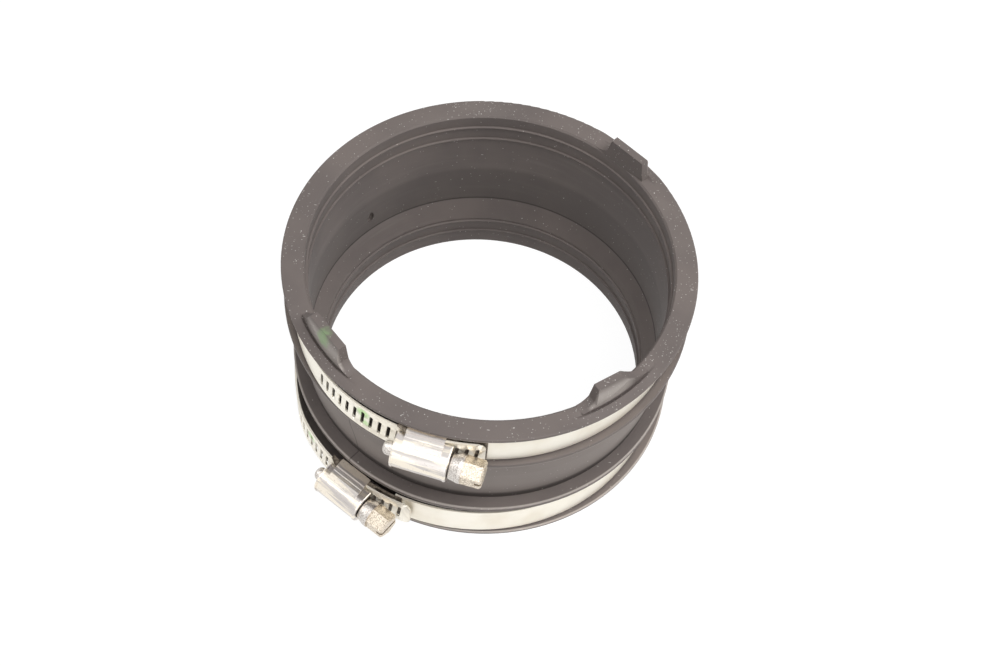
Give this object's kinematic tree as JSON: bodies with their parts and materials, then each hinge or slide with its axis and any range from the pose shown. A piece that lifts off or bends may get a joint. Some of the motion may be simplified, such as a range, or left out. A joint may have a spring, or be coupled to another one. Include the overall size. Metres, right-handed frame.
{
  "type": "flexible pipe coupling",
  "caption": "Stepped rubber sleeve that joins two pipes of different bore, with a worm-drive band clamp in a groove round each end and raised lugs on its rim.",
  "frame": {"origin": "centre of the lower socket's mouth, in the plane of the sleeve's bottom face", "axes": "+Z along the sleeve's axis, towards the rim with the lugs; the upper clamp's screw faces -Y"},
  "size_m": [0.138, 0.1487, 0.0761],
  "materials": {
    "sleeve": "matt moulded rubber",
    "upper_band": "bright rolled stainless strip",
    "upper_band_anchor": "bright rolled stainless strip",
    "upper_saddle": "pressed stainless plate",
    "upper_housing": "pressed bright stainless",
    "upper_screw": "turned stainless",
    "lower_band": "bright rolled stainless strip",
    "lower_band_anchor": "bright rolled stainless strip",
    "lower_saddle": "pressed stainless plate",
    "lower_housing": "pressed bright stainless",
    "lower_screw": "turned stainless"
  },
  "bodies": {
    "sleeve_body": {"sleeve": "sleeve"},
    "upper_clamp_body": {"upper_housing": "upper_housing", "upper_saddle": "upper_saddle", "upper_band_anchor": "upper_band_anchor"},
    "upper_screw_body": {"upper_screw": "upper_screw"},
    "upper_band_body": {"upper_band": "upper_band"},
    "lower_clamp_body": {"lower_housing": "lower_housing", "lower_saddle": "lower_saddle", "lower_band_anchor": "lower_band_anchor"},
    "lower_screw_body": {"lower_screw": "lower_screw"},
    "lower_band_body": {"lower_band": "lower_band"}
  },
  "joints": [
    {"name": "upper_clamp_turn", "type": "hinge", "parent": "sleeve_body", "child": "upper_clamp_body", "pos_m": [0, 0, 0.05925], "axis": [0, 0, 1], "continuous": true},
    {"name": "upper_screw_turn", "type": "hinge", "parent": "upper_clamp_body", "child": "upper_screw_body", "pos_m": [-0.01413, -0.07205, 0.05925], "axis": [-0.9816, 0.1908, 0], "range_deg": [-720, 1800]},
    {"name": "upper_band_feed", "type": "hinge", "parent": "upper_clamp_body", "child": "upper_band_body", "pos_m": [-0.00044, -0.00164, 0.05925], "axis": [0, 0, 1], "range_deg": [-5.5, 13.6]},
    {"name": "lower_clamp_turn", "type": "hinge", "parent": "sleeve_body", "child": "lower_clamp_body", "pos_m": [0, 0, 0.00875], "axis": [0, 0, 1], "continuous": true},
    {"name": "lower_screw_turn", "type": "hinge", "parent": "lower_clamp_body", "child": "lower_screw_body", "pos_m": [-0.04125, -0.06219, 0.00875], "axis": [-0.8339, 0.5519, 0], "range_deg": [-720, 1800]},
    {"name": "lower_band_feed", "type": "hinge", "parent": "lower_clamp_body", "child": "lower_band_body", "pos_m": [-0.00166, -0.00238, 0.00875], "axis": [0, 0, 1], "range_deg": [-5.5, 13.6]}
  ],
  "couplings": [
    {"joint": "upper_band_feed", "follows": "upper_screw_turn", "ratio": 0.0074751},
    {"joint": "lower_band_feed", "follows": "lower_screw_turn", "ratio": 0.0074751}
  ]
}
